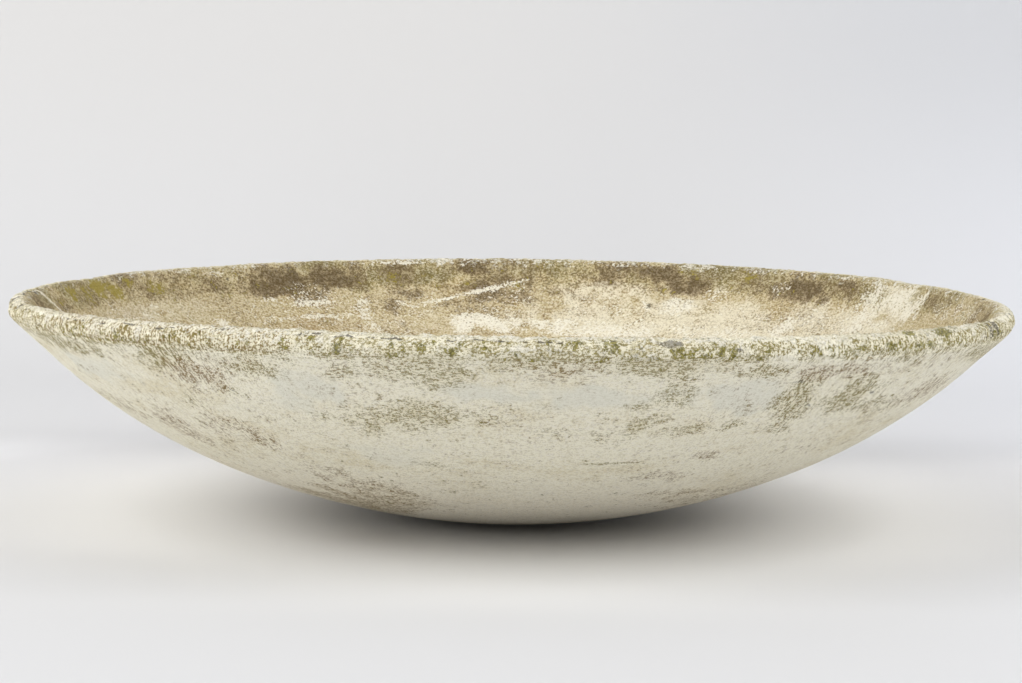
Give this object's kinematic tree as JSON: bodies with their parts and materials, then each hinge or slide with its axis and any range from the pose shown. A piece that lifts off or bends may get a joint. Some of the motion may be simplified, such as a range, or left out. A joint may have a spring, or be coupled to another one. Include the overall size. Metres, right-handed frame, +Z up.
{
  "type": "saucer planter",
  "caption": "Wide, shallow saucer planter: a dished bowl of hand-laid fibre cement with a thick rolled rim, a small flat to stand on and a drain hole.",
  "frame": {"origin": "middle of the flat that the bowl stands on", "axes": "+Z up along the bowl's own axis, +Y away from the side that the picture looks at, +X to that view's right"},
  "size_m": [0.9499, 0.95, 0.209],
  "materials": {
    "outer_felt": "matt weathered fibre cement, stained",
    "inner_felt": "matt weathered fibre cement, stained by wet soil",
    "rim_felt": "matt weathered fibre cement, crusted with lichen",
    "patch_felt": "matt weathered fibre cement, dark from standing water"
  },
  "bodies": {
    "root": {"outer_layer": "outer_felt", "inner_layer": "inner_felt", "rim_roll": "rim_felt", "base_patch": "patch_felt"}
  },
  "joints": []
}
